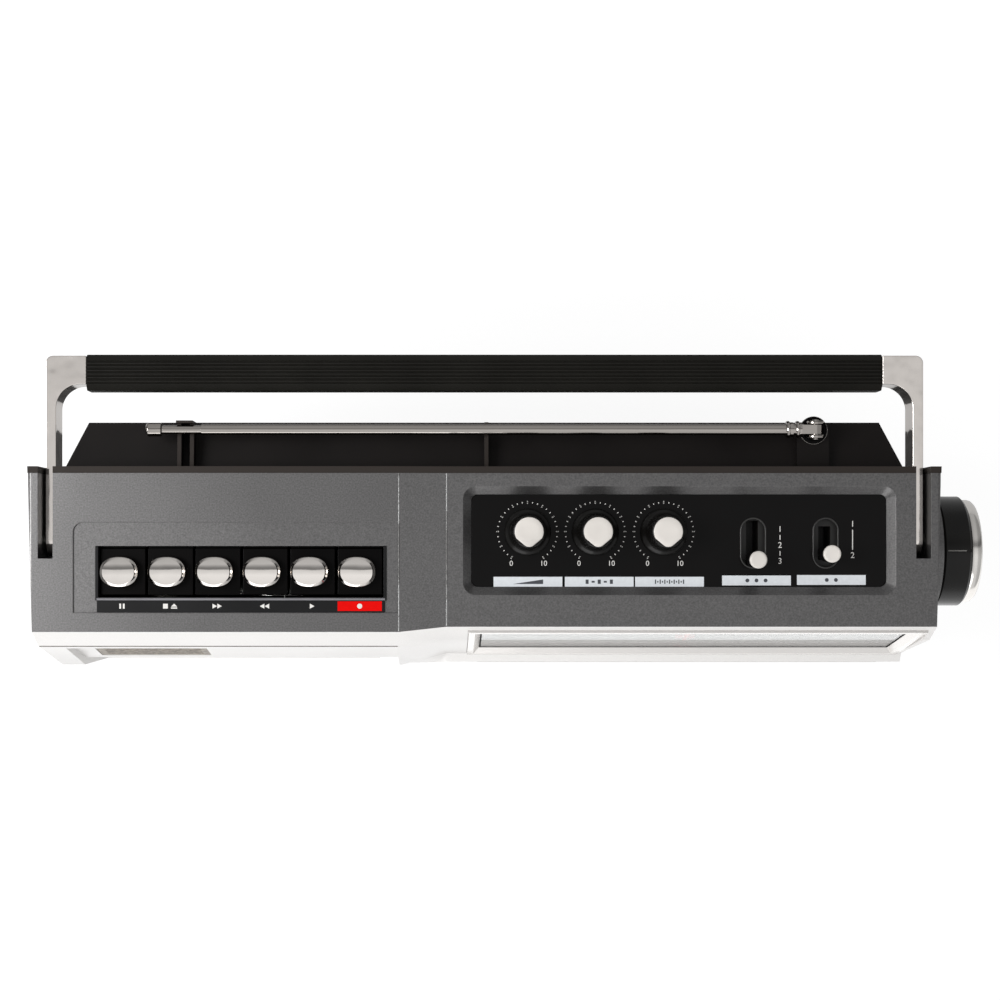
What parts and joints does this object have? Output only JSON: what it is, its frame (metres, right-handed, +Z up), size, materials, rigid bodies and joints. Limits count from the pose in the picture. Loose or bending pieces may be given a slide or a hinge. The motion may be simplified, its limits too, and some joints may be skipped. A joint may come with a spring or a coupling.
{
  "type": "portable radio cassette recorder",
  "caption": "Table-top portable radio cassette recorder with piano keys, round knobs, a tuning dial, a folding carrying handle and a telescopic antenna.",
  "frame": {"origin": "middle of the whole object's bounding box at floor level, standing on its feet with the handle folded back", "axes": "+X to the right along the width, +Y to the rear (the dial and the deck face -Y), +Z up"},
  "size_m": [0.3802, 0.1264, 0.234],
  "materials": {
    "grey_paint": "satin",
    "silver_paint": "satin",
    "black_abs": "matte",
    "gloss_black": "gloss",
    "chrome": "polished",
    "handle_black": "satin",
    "steel": "satin",
    "key_black": "satin",
    "knob_black": "satin",
    "white_cap": "gloss",
    "knob_face": "polished",
    "board": "satin",
    "clear": "clear",
    "scale": "satin",
    "pointer_red": "satin",
    "contact_steel": "satin",
    "soft_rubber": "matte"
  },
  "bodies": {
    "housing": {"antenna_base": "chrome", "battery_box": "black_abs", "battery_contacts": "contact_steel", "cabinet": "grey_paint", "case_screws": "steel", "control_plate": "gloss_black", "deck_chassis": "steel", "deck_well": "black_abs", "dial_bezel": "silver_paint", "dial_scale": "scale", "dial_window": "clear", "feet": "soft_rubber", "front_panel": "silver_paint", "handle_pivots": "steel", "key_shaft": "steel", "key_surround": "black_abs", "loudspeaker": "steel", "main_board": "board", "mic_grille": "black_abs", "power_inlet": "black_abs", "rear_cover": "black_abs", "speaker_grille": "silver_paint", "tape_heads": "steel", "tuning_gang": "steel"},
    "handle": {"handle_arm_left": "chrome", "handle_arm_right": "chrome", "handle_grip": "handle_black"},
    "antenna_tube_body": {"antenna_tube": "chrome"},
    "antenna_middle_body": {"antenna_section_2": "chrome"},
    "antenna_tip_body": {"antenna_section_3": "chrome"},
    "tuning_dial_knob": {"tuning_knob": "knob_black", "tuning_knob_cap": "knob_face"},
    "pointer": {"dial_pointer": "pointer_red"},
    "deck_door": {"cassette_door": "silver_paint", "cassette_window": "clear"},
    "battery_lid": {"battery_door": "black_abs"},
    "take_up_reel": {"reel_right": "knob_black"},
    "supply_reel": {"reel_left": "knob_black"},
    "capstan_wheel": {"capstan": "steel"},
    "roller": {"pinch_roller": "soft_rubber"},
    "pause_key_body": {"pause_key": "key_black", "pause_key_cap": "chrome"},
    "stop_key_body": {"stop_key": "key_black", "stop_key_cap": "chrome"},
    "forward_key_body": {"forward_key": "key_black", "forward_key_cap": "chrome"},
    "rewind_key_body": {"rewind_key": "key_black", "rewind_key_cap": "chrome"},
    "play_key_body": {"play_key": "key_black", "play_key_cap": "chrome"},
    "record_key_body": {"record_key": "key_black", "record_key_cap": "chrome"},
    "volume_knob_body": {"volume_knob": "knob_black", "volume_knob_cap": "white_cap"},
    "bass_knob_body": {"bass_knob": "knob_black", "bass_knob_cap": "white_cap"},
    "treble_knob_body": {"treble_knob": "knob_black", "treble_knob_cap": "white_cap"},
    "function_switch_body": {"function_slider": "white_cap"},
    "band_switch_body": {"band_slider": "white_cap"}
  },
  "joints": [
    {"name": "handle_fold", "type": "hinge", "parent": "housing", "child": "handle", "pos_m": [-0.0101, -0.0108, 0.205], "axis": [1, 0, 0], "range_deg": [0, 90]},
    {"name": "antenna_tilt", "type": "hinge", "parent": "housing", "child": "antenna_tube_body", "pos_m": [0.1212, 0.0328, 0.2148], "axis": [0, 1, 0], "range_deg": [0, 90]},
    {"name": "antenna_slide_2", "type": "slide", "parent": "antenna_tube_body", "child": "antenna_middle_body", "axis": [-1, 0, 0], "range_m": [0, 0.18]},
    {"name": "antenna_slide_3", "type": "slide", "parent": "antenna_middle_body", "child": "antenna_tip_body", "axis": [-1, 0, 0], "range_m": [0, 0.18]},
    {"name": "pause_press", "type": "hinge", "parent": "housing", "child": "pause_key_body", "pos_m": [-0.15285, 0.0106, 0.2164], "axis": [1, 0, 0], "range_deg": [0, 8.3], "stiffness_Nm_per_rad": 1, "springref_deg": -2.86},
    {"name": "stop_press", "type": "hinge", "parent": "housing", "child": "stop_key_body", "pos_m": [-0.13415, 0.0106, 0.2164], "axis": [1, 0, 0], "range_deg": [0, 8.3], "stiffness_Nm_per_rad": 1, "springref_deg": -2.86},
    {"name": "forward_press", "type": "hinge", "parent": "housing", "child": "forward_key_body", "pos_m": [-0.11545, 0.0106, 0.2164], "axis": [1, 0, 0], "range_deg": [0, 8.3], "stiffness_Nm_per_rad": 1, "springref_deg": -2.86},
    {"name": "rewind_press", "type": "hinge", "parent": "housing", "child": "rewind_key_body", "pos_m": [-0.09675, 0.0106, 0.2164], "axis": [1, 0, 0], "range_deg": [0, 8.3], "stiffness_Nm_per_rad": 1, "springref_deg": -2.86},
    {"name": "play_press", "type": "hinge", "parent": "housing", "child": "play_key_body", "pos_m": [-0.07805, 0.0106, 0.2164], "axis": [1, 0, 0], "range_deg": [0, 8.3], "stiffness_Nm_per_rad": 1, "springref_deg": -2.86},
    {"name": "record_press", "type": "hinge", "parent": "housing", "child": "record_key_body", "pos_m": [-0.05935, 0.0106, 0.2164], "axis": [1, 0, 0], "range_deg": [0, 8.3], "stiffness_Nm_per_rad": 1, "springref_deg": -2.86},
    {"name": "volume_turn", "type": "hinge", "parent": "housing", "child": "volume_knob_body", "pos_m": [0.0068, -0.0079, 0.2175], "axis": [0, 0, 1], "range_deg": [-150, 150]},
    {"name": "bass_turn", "type": "hinge", "parent": "housing", "child": "bass_knob_body", "pos_m": [0.0336, -0.0079, 0.2175], "axis": [0, 0, 1], "range_deg": [-150, 150]},
    {"name": "treble_turn", "type": "hinge", "parent": "housing", "child": "treble_knob_body", "pos_m": [0.0607, -0.0079, 0.2175], "axis": [0, 0, 1], "range_deg": [-150, 150]},
    {"name": "function_slide", "type": "slide", "parent": "housing", "child": "function_switch_body", "axis": [0, 1, 0], "range_m": [0, 0.0132]},
    {"name": "band_slide", "type": "slide", "parent": "housing", "child": "band_switch_body", "axis": [0, 1, 0], "range_m": [0, 0.0086]},
    {"name": "tuning_turn", "type": "hinge", "parent": "housing", "child": "tuning_dial_knob", "pos_m": [0.1699, -0.0152, 0.188], "axis": [1, 0, 0], "range_deg": [-540, 540]},
    {"name": "pointer_slide", "type": "slide", "parent": "housing", "child": "pointer", "axis": [1, 0, 0], "range_m": [-0.0665, 0.0665]},
    {"name": "deck_door_open", "type": "hinge", "parent": "housing", "child": "deck_door", "pos_m": [-0.1116, -0.0558, 0.072], "axis": [1, 0, 0], "range_deg": [0, 35]},
    {"name": "battery_lid_open", "type": "hinge", "parent": "housing", "child": "battery_lid", "pos_m": [-0.0151, 0.0353, 0.0126], "axis": [-1, 0, 0], "range_deg": [0, 80]},
    {"name": "supply_reel_turn", "type": "hinge", "parent": "housing", "child": "supply_reel", "pos_m": [-0.13285, -0.0384, 0.1103], "axis": [0, 1, 0], "continuous": true},
    {"name": "take_up_reel_turn", "type": "hinge", "parent": "housing", "child": "take_up_reel", "pos_m": [-0.09035, -0.0384, 0.1103], "axis": [0, 1, 0], "continuous": true},
    {"name": "capstan_turn", "type": "hinge", "parent": "housing", "child": "capstan_wheel", "pos_m": [-0.0956, -0.0384, 0.1395], "axis": [0, 1, 0], "continuous": true},
    {"name": "roller_turn", "type": "hinge", "parent": "housing", "child": "roller", "pos_m": [-0.0956, -0.0384, 0.1506], "axis": [0, 1, 0], "continuous": true}
  ],
  "couplings": [
    {"joint": "pointer_slide", "follows": "tuning_turn", "m_per_rad": 0.007}
  ]
}
